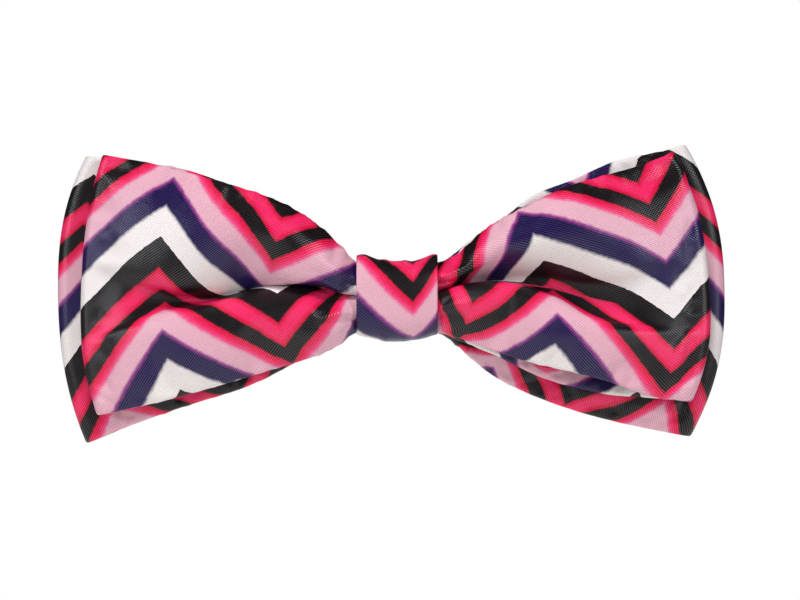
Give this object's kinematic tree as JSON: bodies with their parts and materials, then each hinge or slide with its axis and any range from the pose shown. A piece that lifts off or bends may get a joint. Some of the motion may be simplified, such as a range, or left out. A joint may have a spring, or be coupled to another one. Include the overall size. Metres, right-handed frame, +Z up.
{
  "type": "clip-on bow tie",
  "caption": "Pre-tied clip-on bow tie: two gathered satin bows under a knot band, with a steel plate behind whose sprung toothed jaws grip a shirt collar.",
  "frame": {"origin": "middle of the knot, where the gathered waists of both bows lie", "axes": "+X along the bow to the viewer's right, -Y to the front, +Z up when worn"},
  "size_m": [0.12, 0.0227, 0.0539],
  "materials": {
    "printed_satin": "satin weave printed with pink, black, navy and cream chevrons",
    "interlining": "plain woven stiffener",
    "sewing_thread": "twisted polyester thread",
    "clip_steel": "nickel plated, tumbled",
    "spring_steel": "drawn spring wire"
  },
  "bodies": {
    "bow": {"front_bow_satin": "printed_satin", "front_bow_interlining": "interlining", "front_bow_seam_stitches": "sewing_thread", "back_bow_satin": "printed_satin", "back_bow_interlining": "interlining", "back_bow_seam_stitches": "sewing_thread", "gather_thread": "sewing_thread", "knot_wrap": "printed_satin", "knot_interlining": "interlining", "knot_closing_stitches": "sewing_thread", "clip_base": "clip_steel", "left_hinge_pin": "clip_steel", "right_hinge_pin": "clip_steel", "left_jaw_spring": "spring_steel", "right_jaw_spring": "spring_steel"},
    "left_jaw": {"left_jaw": "clip_steel"},
    "right_jaw": {"right_jaw": "clip_steel"}
  },
  "joints": [
    {"name": "left_jaw_hinge", "type": "hinge", "parent": "bow", "child": "left_jaw", "pos_m": [-0.0155, 0.0087, 0], "axis": [0, 0, -1], "range_deg": [0, 28], "stiffness_Nm_per_rad": 0.02, "springref_deg": -40.11, "deforming": ["left_jaw_spring"]},
    {"name": "right_jaw_hinge", "type": "hinge", "parent": "bow", "child": "right_jaw", "pos_m": [0.0155, 0.0087, 0], "axis": [0, 0, 1], "range_deg": [0, 28], "stiffness_Nm_per_rad": 0.02, "springref_deg": -40.11, "deforming": ["right_jaw_spring"]}
  ]
}
